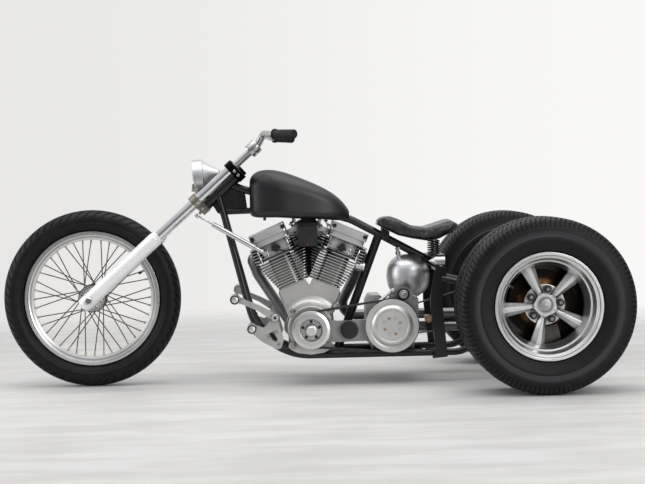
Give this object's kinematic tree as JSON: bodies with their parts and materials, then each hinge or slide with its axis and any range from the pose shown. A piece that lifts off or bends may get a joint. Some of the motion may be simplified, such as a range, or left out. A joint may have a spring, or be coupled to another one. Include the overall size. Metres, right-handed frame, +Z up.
{
  "type": "motorized trike",
  "caption": "Custom motorized trike with a long raked fork, V-twin engine with open belt primary, slim tank, sprung saddle and wide alloy rear wheels.",
  "frame": {"origin": "on the floor, under the middle of the vehicle's length and width", "axes": "+X forward, +Y to the rider's left, +Z up"},
  "size_m": [2.5, 1.204, 1.0427],
  "materials": {
    "tyre": "matt black rubber",
    "polished_aluminium": "polished",
    "cast_aluminium": "satin cast",
    "spoke_steel": "brownish steel",
    "chrome": "bright chrome",
    "frame_black": "satin black paint",
    "tank_black": "satin black paint",
    "pipe_grey": "brownish dark grey, heat stained",
    "belt_rubber": "matt black",
    "chain_steel": "oiled steel",
    "disc_bronze": "bronze-tinted steel",
    "leather": "black leather",
    "lamp_glass": "clear",
    "grip_rubber": "matt black",
    "coil_plastic": "black"
  },
  "bodies": {
    "root": {"frame_neck": "frame_black", "frame_backbone": "frame_black", "frame_downtubes": "frame_black", "frame_bottom_rails": "frame_black", "frame_seat_post": "frame_black", "frame_uprights": "frame_black", "frame_axle_stays": "frame_black", "seat_perch": "frame_black", "rear_axle_housing": "cast_aluminium", "brake_callipers": "polished_aluminium", "crankcase": "cast_aluminium", "cylinders": "cast_aluminium", "cylinder_heads": "cast_aluminium", "rocker_boxes": "polished_aluminium", "pushrod_tubes": "chrome", "carburettor": "cast_aluminium", "exhaust_pipes": "pipe_grey", "motor_plate": "cast_aluminium", "engine_pulley": "polished_aluminium", "clutch": "polished_aluminium", "primary_belt": "belt_rubber", "gearbox": "cast_aluminium", "final_drive": "chain_steel", "fuel_tank": "tank_black", "seat_pad": "leather", "seat_base": "frame_black", "oil_tank": "polished_aluminium", "tail_lamps": "polished_aluminium", "ignition_coil": "coil_plastic", "foot_controls": "cast_aluminium"},
    "fork": {"fork_clamps": "frame_black", "fork_tubes": "chrome", "fork_sliders": "polished_aluminium", "front_axle": "chrome", "headlamp_shell": "polished_aluminium", "headlamp_lens": "lamp_glass", "handlebars": "chrome", "handle_grips": "grip_rubber"},
    "front_wheel": {"front_tyre": "tyre", "front_rim": "polished_aluminium", "front_hub": "spoke_steel"},
    "rear_left_wheel": {"rear_left_tyre": "tyre", "rear_left_wheel": "polished_aluminium", "rear_left_brake_disc": "disc_bronze"},
    "rear_right_wheel": {"rear_right_tyre": "tyre", "rear_right_wheel": "polished_aluminium", "rear_right_brake_disc": "disc_bronze"},
    "damper_barrel": {"damper_barrel": "polished_aluminium"},
    "damper_rod": {"damper_rod": "chrome"}
  },
  "joints": [
    {"name": "steering", "type": "hinge", "parent": "root", "child": "fork", "pos_m": [0.4144, 0, 0.73875], "axis": [-0.7466, 0, 0.6652], "range_deg": [-30, 30]},
    {"name": "front_wheel_spin", "type": "hinge", "parent": "fork", "child": "front_wheel", "pos_m": [0.885, 0, 0.365], "axis": [0, 1, 0], "continuous": true},
    {"name": "rear_left_wheel_spin", "type": "hinge", "parent": "root", "child": "rear_left_wheel", "pos_m": [-0.91, 0.475, 0.34], "axis": [0, 1, 0], "continuous": true},
    {"name": "rear_right_wheel_spin", "type": "hinge", "parent": "root", "child": "rear_right_wheel", "pos_m": [-0.91, -0.475, 0.34], "axis": [0, 1, 0], "continuous": true},
    {"name": "damper_swing", "type": "hinge", "parent": "root", "child": "damper_barrel", "pos_m": [0.166, 0.12, 0.54], "axis": [0.4013, 0.7681, -0.499], "range_deg": [-4, 4]},
    {"name": "damper_stroke", "type": "slide", "parent": "damper_barrel", "child": "damper_rod", "axis": [0.858, -0.1246, 0.4983], "range_m": [-0.042, 0.042]}
  ],
  "couplings": [
    {"joint": "damper_swing", "follows": "steering", "ratio": 0.10032},
    {"joint": "damper_stroke", "follows": "steering", "m_per_rad": -0.074053}
  ]
}
